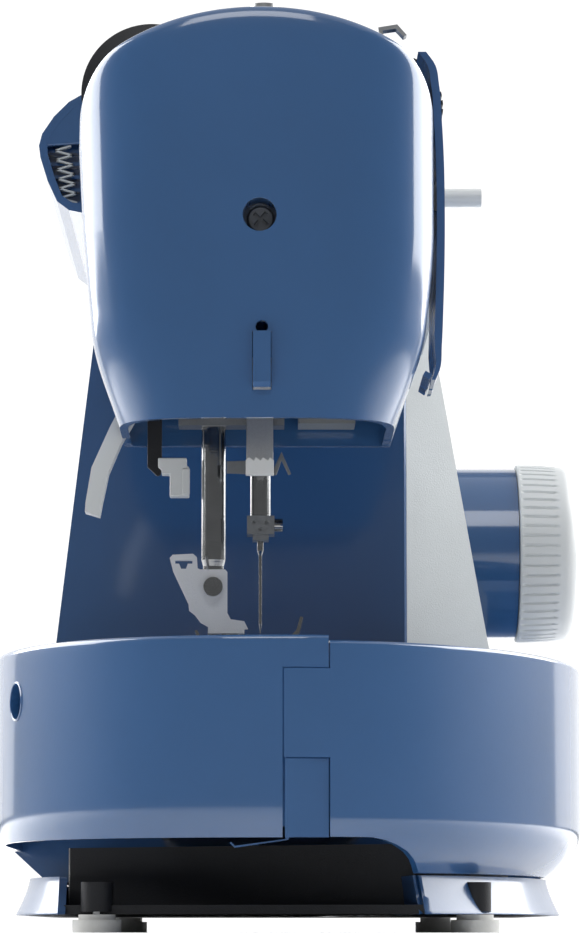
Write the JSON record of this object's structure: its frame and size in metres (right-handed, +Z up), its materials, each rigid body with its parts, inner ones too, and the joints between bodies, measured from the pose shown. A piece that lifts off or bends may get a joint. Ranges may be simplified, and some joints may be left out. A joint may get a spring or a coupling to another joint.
{
  "type": "sewing machine",
  "caption": "Domestic free-arm sewing machine with an extension table, a front pattern dial, a carrying handle and a handwheel.",
  "frame": {"origin": "centre of the bounding box's footprint, on the surface the feet stand on", "axes": "+X from the needle end towards the handwheel, -Y towards the person sewing, +Z up"},
  "size_m": [0.4, 0.203, 0.295],
  "materials": {
    "casing": "satin",
    "base_plastic": "satin",
    "grey_panel": "satin",
    "light_plastic": "satin",
    "dark_plastic": "satin",
    "clear_cover": "clear",
    "bobbin_plastic": "clear",
    "steel": "brushed",
    "bright_steel": "polished",
    "cast_frame": "cast",
    "die_cast": "die cast",
    "bronze": "sintered",
    "rubber": "soft",
    "belt_rubber": "matt",
    "lamp_white": "clear",
    "motor_case": "satin"
  },
  "bodies": {
    "machine": {"base_pan": "base_plastic", "rubber_feet": "rubber", "foot_screws": "steel", "front_housing": "casing", "rear_housing": "casing", "face_cover": "casing", "face_cover_screw": "steel", "thread_cutter": "casing", "front_panel": "casing", "stitch_panel": "grey_panel", "dial_hub": "casing", "free_arm": "casing", "needle_plate": "steel", "needle_plate_screws": "steel", "frame": "cast_frame", "bearing_bushes": "bronze", "bar_guide": "cast_frame", "lamp": "lamp_white", "timing_belt": "belt_rubber", "motor": "motor_case", "motor_belt": "belt_rubber", "thread_guides": "steel", "spool_pin": "light_plastic", "bobbin_case": "dark_plastic", "power_inlet": "dark_plastic"},
    "main_drive": {"main_shaft": "steel", "crank_wheel": "cast_frame", "shaft_pulleys": "cast_frame", "handwheel": "light_plastic"},
    "lower_drive": {"lower_shaft": "steel", "lower_wheels": "cast_frame"},
    "rotary_hook": {"hook": "bright_steel"},
    "bobbin": {"bobbin": "bobbin_plastic"},
    "motor_rotor": {"motor_rotor": "steel"},
    "needle_bar": {"needle_bar": "bright_steel", "needle_clamp": "cast_frame", "clamp_screw": "bright_steel", "needle": "bright_steel"},
    "needle_threader": {"needle_threader": "steel"},
    "take_up_lever": {"take_up_lever": "steel"},
    "presser_bar": {"presser_bar": "bright_steel", "foot_holder": "die_cast", "holder_screw": "bright_steel"},
    "presser_foot": {"presser_foot": "bright_steel"},
    "lifter_lever": {"lifter_lever": "light_plastic"},
    "buttonhole_lever": {"buttonhole_lever": "light_plastic"},
    "feed_dog": {"feed_dog": "steel"},
    "pattern_dial": {"pattern_dial": "light_plastic"},
    "stitch_length_dial": {"stitch_length_dial": "light_plastic"},
    "tension_dial": {"tension_dial": "dark_plastic"},
    "reverse_lever": {"reverse_lever": "light_plastic"},
    "power_switch": {"power_switch": "dark_plastic"},
    "winder_carrier": {"winder_carrier": "dark_plastic"},
    "winder_spindle": {"winder_spindle": "light_plastic"},
    "carry_handle": {"carry_handle": "casing"},
    "bobbin_cover": {"bobbin_cover": "clear_cover"},
    "table": {"table_shell": "casing"},
    "storage_door": {"storage_door": "casing"},
    "latch_button": {"latch_button": "casing"},
    "spool_cap": {"spool_cap": "dark_plastic"}
  },
  "joints": [
    {"name": "handwheel_spin", "type": "hinge", "parent": "machine", "child": "main_drive", "pos_m": [0.1745, 0.015, 0.228], "axis": [1, 0, 0], "continuous": true},
    {"name": "lower_shaft_spin", "type": "hinge", "parent": "machine", "child": "lower_drive", "pos_m": [-0.135, 0.015, 0.052], "axis": [1, 0, 0], "continuous": true},
    {"name": "hook_spin", "type": "hinge", "parent": "machine", "child": "rotary_hook", "pos_m": [-0.135, -0.0006, 0.052], "axis": [0, 0, 1], "continuous": true},
    {"name": "bobbin_spin", "type": "hinge", "parent": "machine", "child": "bobbin", "pos_m": [-0.135, -0.0006, 0.0725], "axis": [0, 0, 1], "continuous": true},
    {"name": "motor_spin", "type": "hinge", "parent": "machine", "child": "motor_rotor", "pos_m": [0.155, 0.055, 0.124], "axis": [1, 0, 0], "continuous": true},
    {"name": "needle_bar_stroke", "type": "slide", "parent": "machine", "child": "needle_bar", "axis": [0, 0, 1], "range_m": [-0.018, 0.012]},
    {"name": "threader_slide", "type": "slide", "parent": "machine", "child": "needle_threader", "axis": [0, 0, -1], "range_m": [0, 0.02], "stiffness_N_per_m": 20, "springref_m": -0.005},
    {"name": "take_up_swing", "type": "hinge", "parent": "machine", "child": "take_up_lever", "pos_m": [-0.127, -0.005, 0.242], "axis": [1, 0, 0], "range_deg": [-8, 38]},
    {"name": "lifter_swing", "type": "hinge", "parent": "machine", "child": "lifter_lever", "pos_m": [-0.125, 0.051, 0.17], "axis": [1, 0, 0], "range_deg": [0, 46]},
    {"name": "presser_lift", "type": "slide", "parent": "machine", "child": "presser_bar", "axis": [0, 0, 1], "range_m": [0, 0.0062]},
    {"name": "presser_foot_tilt", "type": "hinge", "parent": "presser_bar", "child": "presser_foot", "pos_m": [-0.135, 0.0245, 0.0911], "axis": [1, 0, 0], "range_deg": [-1.5, 1.5]},
    {"name": "buttonhole_lever_slide", "type": "slide", "parent": "machine", "child": "buttonhole_lever", "axis": [0, 0, -1], "range_m": [0, 0.018]},
    {"name": "feed_drop", "type": "slide", "parent": "machine", "child": "feed_dog", "axis": [0, 0, -1], "range_m": [0, 0.0035]},
    {"name": "pattern_dial_turn", "type": "hinge", "parent": "machine", "child": "pattern_dial", "pos_m": [0.098, -0.08, 0.14], "axis": [0, -1, 0], "continuous": true},
    {"name": "stitch_length_turn", "type": "hinge", "parent": "machine", "child": "stitch_length_dial", "pos_m": [0.12, -0.045, 0.237], "axis": [0, -1, 0], "range_deg": [-135, 135]},
    {"name": "tension_dial_turn", "type": "hinge", "parent": "machine", "child": "tension_dial", "pos_m": [-0.097, -0.026, 0.268], "axis": [1, 0, 0], "range_deg": [-150, 150]},
    {"name": "reverse_lever_press", "type": "hinge", "parent": "machine", "child": "reverse_lever", "pos_m": [0.045, -0.029, 0.2647], "axis": [1, 0, 0], "range_deg": [0, 14], "stiffness_Nm_per_rad": 0.8, "springref_deg": -5.73},
    {"name": "power_switch_rock", "type": "hinge", "parent": "machine", "child": "power_switch", "pos_m": [0.166, 0.0435, 0.062], "axis": [0, 1, 0], "range_deg": [0, 14]},
    {"name": "winder_shift", "type": "slide", "parent": "machine", "child": "winder_carrier", "axis": [-1, 0, 0], "range_m": [0, 0.0035]},
    {"name": "winder_spin", "type": "hinge", "parent": "winder_carrier", "child": "winder_spindle", "pos_m": [0.125, 0.023, 0.283], "axis": [0, 0, 1], "continuous": true},
    {"name": "carry_handle_swing", "type": "hinge", "parent": "machine", "child": "carry_handle", "pos_m": [0.006, 0.053, 0.2705], "axis": [1, 0, 0], "range_deg": [0, 80]},
    {"name": "bobbin_cover_slide", "type": "slide", "parent": "machine", "child": "bobbin_cover", "axis": [0, -1, 0], "range_m": [0, 0.026]},
    {"name": "table_slide", "type": "slide", "parent": "machine", "child": "table", "axis": [-1, 0, 0], "range_m": [0, 0.24]},
    {"name": "storage_door_swing", "type": "hinge", "parent": "table", "child": "storage_door", "pos_m": [0.0188, -0.0908, 0.06], "axis": [0, 0, 1], "range_deg": [0, 100]},
    {"name": "latch_press", "type": "slide", "parent": "table", "child": "latch_button", "axis": [1, 0, 0], "range_m": [0, 0.003], "stiffness_N_per_m": 400, "springref_m": -0.002},
    {"name": "spool_cap_slide", "type": "slide", "parent": "machine", "child": "spool_cap", "axis": [-1, 0, 0], "range_m": [0, 0.006]}
  ],
  "couplings": [
    {"joint": "lower_shaft_spin", "follows": "handwheel_spin", "ratio": 1},
    {"joint": "hook_spin", "follows": "handwheel_spin", "ratio": 2},
    {"joint": "motor_spin", "follows": "handwheel_spin", "ratio": 5},
    {"joint": "lifter_swing", "follows": "presser_lift", "rad_per_m": 129.49}
  ]
}
